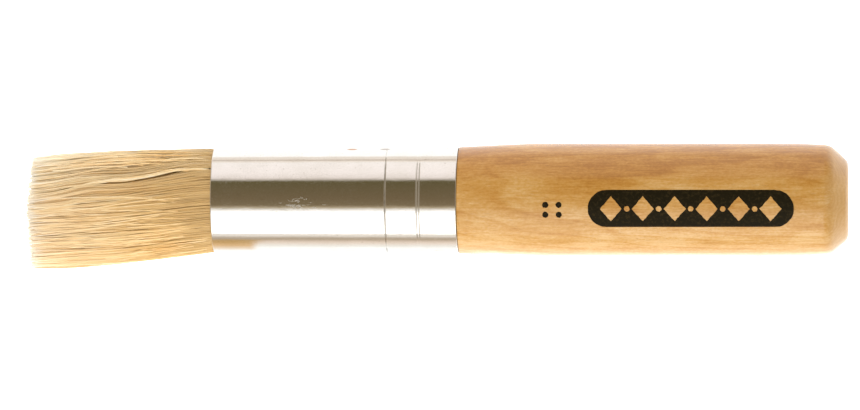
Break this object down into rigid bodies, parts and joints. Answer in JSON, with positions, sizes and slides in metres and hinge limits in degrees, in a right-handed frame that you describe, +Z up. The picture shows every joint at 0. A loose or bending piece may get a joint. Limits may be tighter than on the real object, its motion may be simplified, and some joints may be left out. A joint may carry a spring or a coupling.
{
  "type": "round stencil brush",
  "caption": "Short round brush for dabbing paint through a stencil: turned wooden handle, crimped metal ferrule and stiff flat-cut bristle that springs back when bent.",
  "frame": {"origin": "centre of the handle's flat end face", "axes": "+X along the brush out of the handle's flat end, so the bristle tips are at -X; the brush lies on its side with +Z up; +Y completes the right-handed frame"},
  "size_m": [0.1237, 0.019, 0.0174],
  "materials": {
    "lacquered_wood": "light hardwood under clear gloss lacquer",
    "plated_metal": "polished bright plating on thin sheet metal",
    "cured_glue": "cured glue",
    "cured_resin": "cured amber resin",
    "bristle": "natural stiff bristle, cream to golden tan"
  },
  "bodies": {
    "brush_body": {"handle": "lacquered_wood", "ferrule": "plated_metal", "handle_glue": "cured_glue", "resin_plug": "cured_resin", "bristle_roots": "bristle"},
    "tuft": {"bristle_tuft": "bristle"}
  },
  "joints": [
    {"name": "bristle_bend", "type": "hinge", "parent": "brush_body", "child": "tuft", "pos_m": [-0.0957, 0, 0], "axis": [0, 0, 1], "range_deg": [-15, 15], "stiffness_Nm_per_rad": 0.25}
  ]
}
